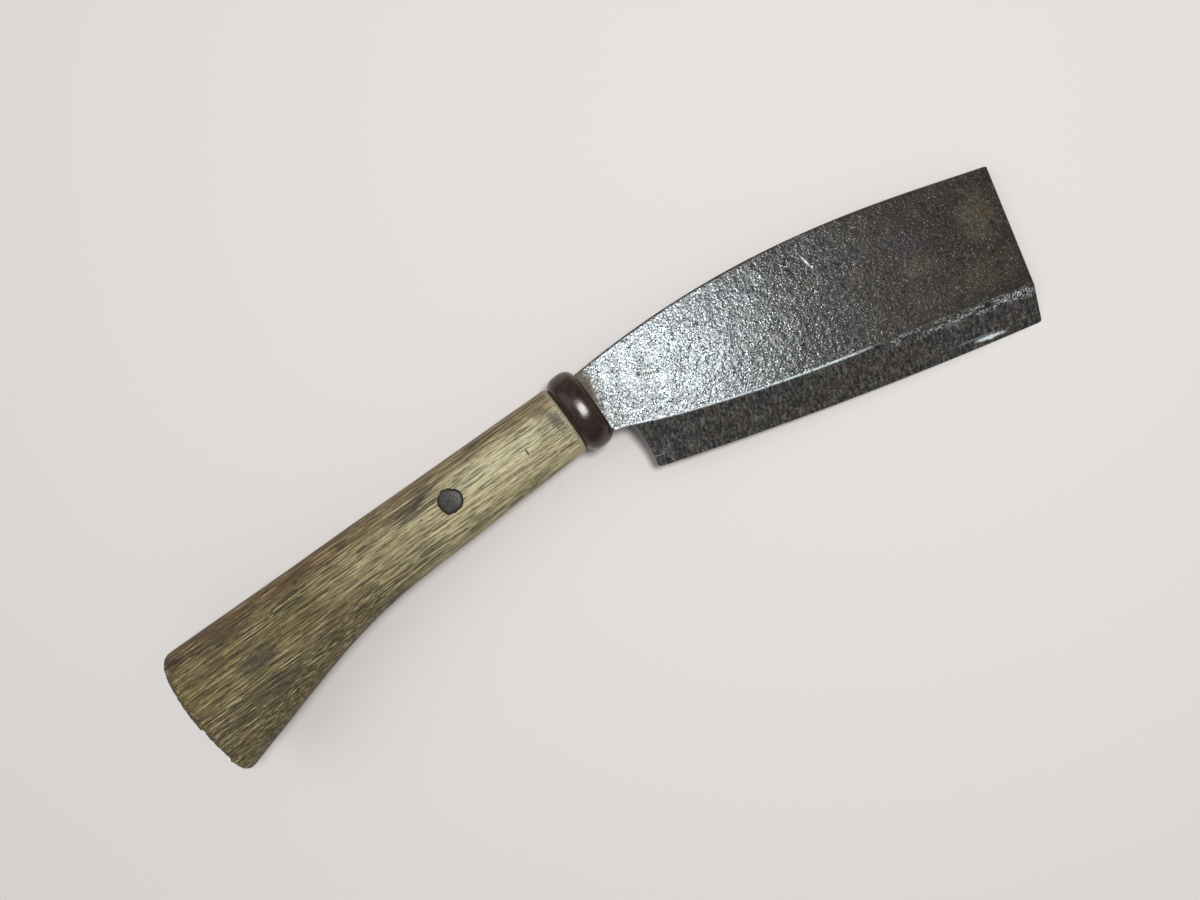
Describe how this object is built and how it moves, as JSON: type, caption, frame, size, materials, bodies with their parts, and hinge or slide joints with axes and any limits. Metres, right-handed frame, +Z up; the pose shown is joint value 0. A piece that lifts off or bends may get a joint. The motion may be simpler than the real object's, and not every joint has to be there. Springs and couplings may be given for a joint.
{
  "type": "chopping blade",
  "caption": "Short single-bevel chopping blade with a square end, a forged ring ferrule and a flared one-piece wooden handle held by a peened iron pin.",
  "frame": {"origin": "on the ground under the centre of the tool's box, with the tool lying as it comes to rest: on its ring and the end of its tip", "axes": "+X along the cutting edge towards the tip, +Y towards the spine, +Z up out of the bevelled face; the flat back leans 3.3 degrees down towards the tip"},
  "size_m": [0.364, 0.1168, 0.0361],
  "materials": {
    "blade_iron": "forged soft iron with orange-peel pitting and a dark brown patina",
    "edge_steel": "ground hard steel, worn bright near the edge",
    "handle_wood": "bare weathered oak with open pores and hand grime",
    "ring_iron": "forged iron, worn smooth and dark brown",
    "pin_iron": "peened iron, dull"
  },
  "bodies": {
    "root": {"blade_body": "blade_iron", "edge_steel": "edge_steel", "handle": "handle_wood", "ferrule_ring": "ring_iron", "handle_pin": "pin_iron"}
  },
  "joints": []
}
